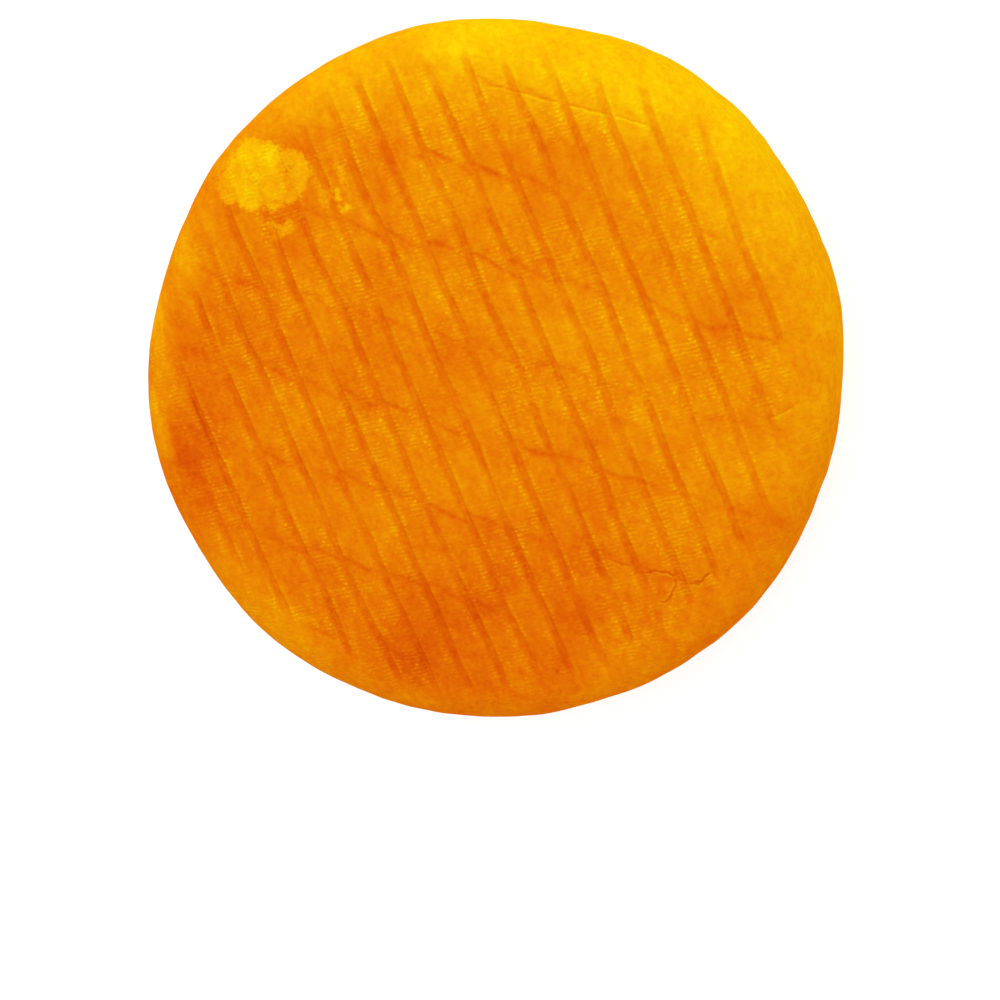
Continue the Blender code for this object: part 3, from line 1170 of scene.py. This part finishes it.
@dataclass
class CheeseWheel:
    """The whole wheel as one piece: its form, its marks, its splits and its rind."""

    form: WheelForm = WheelForm()
    long_marks: LongMarks = LongMarks()
    cross_marks: CrossMarks = CrossMarks()
    wash: Wash = Wash()
    patch: RubbedPatch = RubbedPatch()
    finish: RindFinish = RindFinish()
    lumps: Unevenness = Unevenness(0.00002, 0.0065, 51)
    face_swell: Unevenness = Unevenness(0.00005, 0.020, 52)
    side_swell: Unevenness = Unevenness(0.00016, 0.026, 53)
    side_lumps: Unevenness = Unevenness(0.00005, 0.008, 54)
    panel_drift: Unevenness = Unevenness(3.5, 0.028, 55)
    upper: FacePlan = FacePlan(
        -0.0055,
        -0.0115,
        ((-7, -0.0028), (-8, -0.0007)),
        even_shares(0.24, 6, 6),
        even_shares(0.14, 7, 15),
    )
    lower: FacePlan = FacePlan(0.004965, 0.01175, (), even_shares(0.18, 2, 2), even_shares(0.10, 2, 4))
    splits: tuple[Split, ...] = (
        Split(
            ((0.0052, 0.0827), (0.0096, 0.0823), (0.0137, 0.0812), (0.0213, 0.0790), (0.0264, 0.0776)),
            stain_and_shade=0.17,
            depth=0.00015,
            shake=LONG_SHAKE,
        ),
        Split(
            ((0.0272, 0.0774), (0.0331, 0.0756), (0.0390, 0.0742)),
            stain_and_shade=0.25,
            depth=0.00016,
            shake=LONG_SHAKE,
        ),
        Split(
            ((0.0405, 0.0740), (0.0447, 0.0723), (0.0493, 0.0709)),
            stain_and_shade=0.18,
            depth=0.00015,
            shake=LONG_SHAKE,
        ),
        Split(((0.0381, -0.0463), (0.0402, -0.0474), (0.0430, -0.0483), (0.0451, -0.0482)), stain_and_shade=0.42),
        Split(
            ((0.0472, -0.0504), (0.0496, -0.0502), (0.0533, -0.0498), (0.0557, -0.0506), (0.0585, -0.0508)),
            stain_and_shade=0.70,
        ),
        Split(((0.0576, -0.0519), (0.0603, -0.0527)), stain_and_shade=0.60),
        Split(
            ((0.0612, -0.0536), (0.0644, -0.0528), (0.0651, -0.0517), (0.0678, -0.0497)),
            stain_and_shade=0.78,
            half_width=0.00036,
        ),
        Split(
            ((0.0574, -0.0524), (0.0574, -0.0542), (0.0559, -0.0576), (0.0547, -0.0589), (0.0526, -0.0588)),
            stain_and_shade=0.72,
        ),
        Split(((0.0822, -0.0062), (0.0855, -0.0049), (0.0893, -0.0024)), stain_and_shade=0.28, depth=0.00020),
        Split(((-0.0530, 0.0598), (-0.0517, 0.0610), (-0.0505, 0.0604)), stain_and_shade=0.55, depth=0.00019),
        Split(((-0.0518, 0.0624), (-0.0502, 0.0614), (-0.0492, 0.0621)), stain_and_shade=0.50, depth=0.00019),
        Split(
            ((-0.0832, -0.0030), (-0.0812, -0.0082), (-0.0792, -0.0132), (-0.0772, -0.0182)),
            stain_and_shade=0.30,
            depth=0.00010,
            lip_gain=4.0,
            shake=Unevenness(0.00005, 0.0060, 32),
        ),
        Split(((-0.0742, -0.0232), (-0.0727, -0.0238)), stain_and_shade=0.45, depth=0.00019),
    )
    side_calm: float = 0.75
    side_start: float = 0.5
    shoulder_rings: tuple[int, ...] = (0, 3, 6, 9)
    split_reach: float = 0.0011
    split_cuts: int = 3
    split_band: float = 0.004

    def plan(self, face: Face) -> FacePlan:
        """Plan of one face."""
        return self.upper if face is Face.UPPER else self.lower

    def turned_body(self) -> bmesh.types.BMesh:
        """Turn a coarse side profile once round the axis and close both flats.

        Returns:
            The closed body, as a bmesh. Its side is one band, to be cut into rings later.
        """
        body = bmesh.new()
        profile = self.form.side_profile()
        shoulder = profile[: self.form.shoulder_steps]
        corners = [shoulder[step] for step in self.shoulder_rings] + [profile[-1]]
        points = [body.verts.new((radius, 0.0, level)) for radius, level in corners]
        edges = [body.edges.new(pair) for pair in zip(points, points[1:])]
        bmesh.ops.spin(
            body,
            geom=points + edges,
            cent=(0.0, 0.0, 0.0),
            axis=(0.0, 0.0, 1.0),
            angle=2.0 * math.pi,
            steps=self.form.segments,
            use_merge=True,
        )
        bmesh.ops.holes_fill(body, edges=body.edges[:], sides=0)
        bmesh.ops.recalc_face_normals(body, faces=body.faces[:])
        return body

    def cut_face(self, body: bmesh.types.BMesh, face: Face) -> None:
        """Divide one face, and the start of its shoulder, along both sets of marks.

        Args:
            body: The turned body.
            face: Which face is cut.
        """
        plan = self.plan(face)
        if face is Face.UPPER:
            limit = self.form.side_profile()[self.shoulder_rings[-1]][1]
            faces = [part for part in body.faces if part.calc_center_median().z > limit]
        else:
            faces = [part for part in body.faces if part.calc_center_median().z < MERGE_DISTANCE]
        reach = self.form.radius
        long_places = self.long_marks.cut_places(plan.long_offset, reach, plan.long_shares, plan.strays)
        cross_places = self.cross_marks.cut_places(plan.cross_offset, reach, plan.cross_shares)
        cuts = ((self.long_marks.normal, long_places), (self.cross_marks.normal, cross_places))
        for normal, places in cuts:
            turn = math.radians(normal)
            faces = slice_faces(body, faces, Vector((math.cos(turn), math.sin(turn), 0.0)), places)

    def cut_side(self, body: bmesh.types.BMesh) -> None:
        """Cut the side's band into rings at the profile's levels.

        Args:
            body: The body, with its faces cut.
        """
        profile = self.form.side_profile()
        top = profile[self.shoulder_rings[-1]][1]
        faces = [part for part in body.faces if 0.0 < part.calc_center_median().z < top - MERGE_DISTANCE]
        levels = [level for _, level in profile[self.shoulder_rings[-1] + 1 : -1]]
        slice_faces(body, faces, Vector((0.0, 0.0, 1.0)), levels)

    def refine_splits(self, body: bmesh.types.BMesh) -> None:
        """Divide the upper face further along its splits.

        Args:
            body: The body, with its faces cut.
        """
        limit = self.form.height - self.split_band
        faces = [part for part in body.faces if part.calc_center_median().z > limit]
        middles = np.array([part.calc_center_median() for part in faces])
        near = np.zeros(len(faces), bool)
        for split in self.splits:
            away, _ = split.read(middles[:, 0], middles[:, 1])
            near |= np.abs(away) < self.split_reach
        edges = {edge for part, close in zip(faces, near) if close for edge in part.edges}
        bmesh.ops.subdivide_edges(body, edges=list(edges), cuts=self.split_cuts, use_grid_fill=True)

    def mark_strength(
        self, x: np.ndarray, y: np.ndarray, plan: FacePlan, number: np.ndarray
    ) -> np.ndarray:
        """Fade the marks out near the rim.

        Args:
            x: Places along X.
            y: Places along Y.
            plan: The face's plan.
            number: Number of the nearest long mark.

        Returns:
            1 where the marks are whole, 0 where they have ended.
        """
        turn = np.arctan2(y, x) - math.radians(plan.reach_crest)
        reach = plan.reach + plan.reach_wave * np.cos(2.0 * turn) + plan.reach_shift * np.cos(turn)
        reach = reach + self.long_marks.end_spread.at(number * FAR_APART, y)
        share = np.hypot(x, y) / self.form.radius
        return 1.0 - smooth_step(0.0, 1.0, (share - reach) / plan.fade + 1.0)

    def face_relief(self, x: np.ndarray, y: np.ndarray, face: Face) -> tuple[np.ndarray, ...]:
        """Work out the marks of one face.

        Args:
            x: Places along X.
            y: Places along Y.
            face: The face.

        Returns:
            The relief's height, and the shares of a mark's pigment, beaded lip and bright line.
        """
        plan = self.plan(face)
        long_set, cross_set = self.long_marks, self.cross_marks
        gap, number = long_set.gap(x, y, plan.long_offset, plan.strays)
        run, own = long_set.run(x, y), number * FAR_APART
        firm = long_set.firm + long_set.firmness.at(run, own)
        firm = np.clip(firm, long_set.firm_least, long_set.firm_most)
        long_part = firm * (1.0 - smooth_step(long_set.floor_half, long_set.half_width, np.abs(gap)))

        steps = long_set.steps(x, y, plan.long_offset)
        cross_gap, plain = cross_set.gap(x, y, plan.cross_offset, steps)
        core = plain * bell(cross_gap, cross_set.core_width)
        spread = cross_set.spread_least + (1.0 - cross_set.spread_least) * plain
        spread = spread * bell(cross_gap, cross_set.spread_width)

        strength = self.mark_strength(x if face is Face.UPPER else -x, y, plan, number)
        beaded, lined = (
            strength * np.clip(usual + long_set.lip_share.at(*places), 0.0, long_set.lip_most)
            for usual, places in ((long_set.beaded, (run, own)), (long_set.lined, (own, run)))
        )
        lip = np.where(gap < 0.0, beaded, lined)
        lip = lip * bell(np.abs(gap) - long_set.lip_place, long_set.lip_width)
        beaded = beaded * bell(gap + long_set.bead_place, long_set.bead_width)
        lined = lined * bell(gap - long_set.line_place, long_set.line_width)
        crown = self.form.panel_crown * np.sin(math.pi * steps) ** 2
        cross_depth = cross_set.core_depth * core + cross_set.spread_depth * spread
        depth = np.maximum(long_set.depth * long_part, cross_depth)
        relief = strength * (crown - depth) + long_set.lip_height * lip
        cross_part = cross_set.core_pigment * core + cross_set.spread_pigment * spread
        pigment = strength * np.maximum(long_part, cross_part)
        return relief, pigment, beaded, lined

    def on_profile(self, x: np.ndarray, y: np.ndarray, z: np.ndarray) -> tuple[np.ndarray, ...]:
        """Bring the points of the coarse side onto the true profile.

        Args:
            x: Their places along X.
            y: Their places along Y.
            z: Their levels.

        Returns:
            Their places on the profile.
        """
        profile = np.array(self.form.side_profile())
        limit = profile[self.shoulder_rings[-1], 1]
        radial = np.hypot(x, y)
        shoulder = profile[: self.form.shoulder_steps + 1]
        risen = np.interp(radial, shoulder[:, 0], shoulder[:, 1])
        on_shoulder = (z > limit - MERGE_DISTANCE) & (radial > shoulder[0, 0])
        z = np.where(on_shoulder, risen, z)
        below = np.interp(z, profile[::-1, 1], profile[::-1, 0])
        on_side = (z < limit - MERGE_DISTANCE) & (z > MERGE_DISTANCE)
        grown = np.where(on_side, below / np.maximum(radial, MERGE_DISTANCE), 1.0)
        return x * grown, y * grown, z

    def shape(self, mesh: bpy.types.Mesh) -> Reading:
        """Move every point to its place on the real wheel and read what its finish needs.

        Args:
            mesh: The fine turned body.

        Returns:
            The readings, one for each point.
        """
        form = self.form
        flat = np.empty(len(mesh.vertices) * 3)
        mesh.vertices.foreach_get("co", flat)
        x, y, z = flat.reshape(-1, 3).T.copy()
        x, y, z = self.on_profile(x, y, z)
        radial = np.hypot(x, y)
        upper = z > form.belly_level

        relief, *upper_shares = self.face_relief(x, y, Face.UPPER)
        low_relief, *lower_shares = self.face_relief(x, y, Face.LOWER)
        rising = smooth_step(form.belly_level, form.height, z)
        near_face = smooth_step(form.height - form.face_depth, form.height - form.face_skin, z)
        # Splits: each slot is painted darker, partly by staining and partly by painted shade, and each lip
        # is painted brighter as a highlight
        deep = np.zeros_like(x)
        split_lip_highlight = np.zeros_like(x)
        for split in self.splits:
            slot, raised = split.slot(x, y)
            relief = relief - split.depth * slot + split.lip_height * raised
            deep = np.maximum(deep, split.stain_and_shade * slot)
            # Painted highlight on each split's lip, added to the level
            split_lip_highlight = np.maximum(split_lip_highlight, split.lip_gain * raised)
        inside, rubbed = self.patch.read(x, y)
        sunk = smooth_step(self.patch.sink_start, self.patch.sink_end, inside)
        relief = relief - self.patch.sink * sunk
        uneven = self.lumps.at(x, y) + self.face_swell.at(x, y)
        raised_by = (relief + uneven) * near_face + (form.hill_height(x, y) - form.rim_drop(x, y)) * rising
        on_lower_flat = (z < MERGE_DISTANCE) & ~upper
        z = np.where(upper, z + raised_by, np.where(on_lower_flat, z - np.minimum(low_relief, 0.0), z))

        wall = form.side_share(z, form.wall_levels)
        swell = (self.side_swell.at(x, y, z) + self.side_lumps.at(x, y, z)) * wall
        grown = 1.0 + swell / np.maximum(radial, form.least_radius)
        place_x, place_y = form.outline_place(x, y)
        place_x, place_y = place_x * grown, place_y * grown
        place_x -= (place_x.min() + place_x.max()) / 2.0
        place_y -= (place_y.min() + place_y.max()) / 2.0
        mesh.vertices.foreach_set("co", np.stack([place_x, place_y, z], 1).ravel())

        reach = np.where(upper, form.height, 0.0)
        near_rim = smooth_step(form.cloth_spread_start, 1.0, radial / form.radius)
        spread = 1.0 + np.abs(reach - z) / form.radius * near_rim
        cloth_x = along_normal(x, y, self.long_marks.normal) * spread
        cloth_y = along_normal(x, y, self.finish.weft_normal) * spread
        cloth = np.stack([cloth_x, cloth_y, np.where(upper, 0.0, FAR_APART)], 1) * MILLIMETRES
        down = form.side_share(z, form.calm_levels)
        level = self.wash.level(x, y, form.radius, 1.0 - self.side_calm * down)
        panel = np.floor(self.long_marks.steps(x, y, self.upper.long_offset))
        own = self.panel_drift.at(self.long_marks.run(x, y), panel * FAR_APART)
        level = level + own * np.where(upper, near_face, 0.0)
        mark, lip, line = (
            np.where(upper, high * near_face, np.where(on_lower_flat, low, 0.0))
            for high, low in zip(upper_shares, lower_shares)
        )
        return Reading(
            level=(level + split_lip_highlight) / FULL_LEVEL,
            mark=mark,
            lip=lip,
            line=line,
            split=np.where(upper, deep * near_face, 0.0),
            patch=np.where(upper, inside, -1.0),
            rubbed=rubbed / FULL_LEVEL,
            side=smooth_step(self.side_start, 1.0, wall),
            cloth=cloth,
        )

    def dress(self, mesh: bpy.types.Mesh, reading: Reading) -> None:
        """Store the readings on the mesh and give it its rind.

        Args:
            mesh: The shaped mesh.
            reading: What the finish reads.
        """
        for name in READ_NAMES:
            attribute = mesh.attributes.new(name, "FLOAT", "POINT")
            attribute.data.foreach_set("value", getattr(reading, name).astype(np.float32))
        attribute = mesh.attributes.new("cloth", "FLOAT_VECTOR", "POINT")
        attribute.data.foreach_set("vector", reading.cloth.astype(np.float32).ravel())
        mesh.materials.append(self.finish.material())
        mesh.shade_smooth()

    def build(self) -> bpy.types.Object:
        """Build the wheel and put it in the solid's place.

        Returns:
            The finished piece.
        """
        body = self.turned_body()
        self.cut_face(body, Face.LOWER)
        self.cut_face(body, Face.UPPER)
        self.cut_side(body)
        self.refine_splits(body)
        bmesh.ops.triangulate(body, faces=body.faces[:])
        mesh = finished_mesh("cheese_wheel", body)
        self.dress(mesh, self.shape(mesh))
        piece = add_object("cheese_wheel", mesh)
        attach(piece, "root")
        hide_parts("wheel")
        return piece


@dataclass(frozen=True)
class Studio:
    """Plain pale floor, soft light, and the camera that looks down at the wheel."""

    floor_half: float = 2.0
    floor_gap: float = 0.0002
    floor_colour: Colour = (0.50, 0.50, 0.50, 1.0)
    floor_roughness: float = 0.9
    floor_glow: float = 0.65
    sky: float = 0.83
    key_power: float = 5.93
    key_size: float = 1.2
    key_place: Triple = (-0.06, 0.67, 1.17)
    tilt: float = 15.0
    heading: float = 35.05
    distance: float = 0.5214
    lens: float = 65.51
    aim_pixel: tuple[float, float] = (489.5, 376.1)
    picture: float = 1000.0
    sensor: float = 36.0
    aim_level: float = 0.0225

    def build_floor(self) -> bpy.types.Object:
        """Lay the floor.

        Returns:
            The floor.
        """
        sheet = bmesh.new()
        bmesh.ops.create_grid(sheet, x_segments=1, y_segments=1, size=self.floor_half)
        bmesh.ops.translate(sheet, verts=sheet.verts[:], vec=(0.0, 0.0, -self.floor_gap))
        mesh = finished_mesh("floor", sheet)
        paper = bpy.data.materials.new("pale_floor")
        paper.use_nodes = True
        settings = {
            "Base Color": self.floor_colour,
            "Roughness": self.floor_roughness,
            "Specular IOR Level": 0.0,
            "Emission Color": WHITE,
            "Emission Strength": self.floor_glow,
        }
        for name, value in settings.items():
            paper.node_tree.nodes["Principled BSDF"].inputs[name].default_value = value
        mesh.materials.append(paper)
        floor = add_object("floor", mesh)
        return floor

    def build_lights(self) -> None:
        """Hang a pale sky all round and one large soft light beyond its top."""
        world = bpy.data.worlds.new("pale_sky")
        world.use_nodes = True
        sky = world.node_tree.nodes["Background"]
        sky.inputs["Color"].default_value = WHITE
        sky.inputs["Strength"].default_value = self.sky
        bpy.context.scene.world = world
        lamp = bpy.data.lights.new("soft_key", "AREA")
        lamp.shape = "DISK"
        lamp.size = self.key_size
        lamp.energy = self.key_power
        key = add_object("soft_key", lamp)
        key.location = self.key_place
        key.rotation_mode = "QUATERNION"
        key.rotation_quaternion = (-Vector(self.key_place)).to_track_quat("-Z", "Y")

    def build_camera(self) -> None:
        """Set the camera where the photographer stood."""
        heading, tilt = math.radians(self.heading), math.radians(self.tilt)
        back = Vector(
            (math.sin(tilt) * math.cos(heading), math.sin(tilt) * math.sin(heading), math.cos(tilt))
        )
        focal = self.lens / self.sensor * self.picture
        middle = self.picture / 2.0
        ray = Vector(
            ((self.aim_pixel[0] - middle) / focal, -(self.aim_pixel[1] - middle) / focal, -1.0)
        )
        leaning = Quaternion((-math.sin(heading), math.cos(heading), 0.0), tilt)
        aside = Vector((0.0, 0.0, -1.0)).rotation_difference(ray)
        lens = bpy.data.cameras.new("camera")
        lens.lens = self.lens
        lens.sensor_width = self.sensor
        camera = add_object("camera", lens)
        camera.location = Vector((0.0, 0.0, self.aim_level)) + back * self.distance
        camera.rotation_mode = "QUATERNION"
        camera.rotation_quaternion = leaning @ aside.inverted()
        bpy.context.scene.camera = camera
        bpy.context.scene.view_settings.view_transform = "Standard"


def main() -> None:
    """Build the wheel and its studio, and report each piece."""
    logging.basicConfig(level=logging.INFO, format="%(name)s: %(message)s")
    wheel = CheeseWheel().build()
    LOG.info("%s: %d points, %d triangles", wheel.name, len(wheel.data.vertices), len(wheel.data.polygons))
    studio = Studio()
    floor = studio.build_floor()
    LOG.info("%s: laid", floor.name)
    studio.build_lights()
    studio.build_camera()


if __name__ == "__main__":
    main()
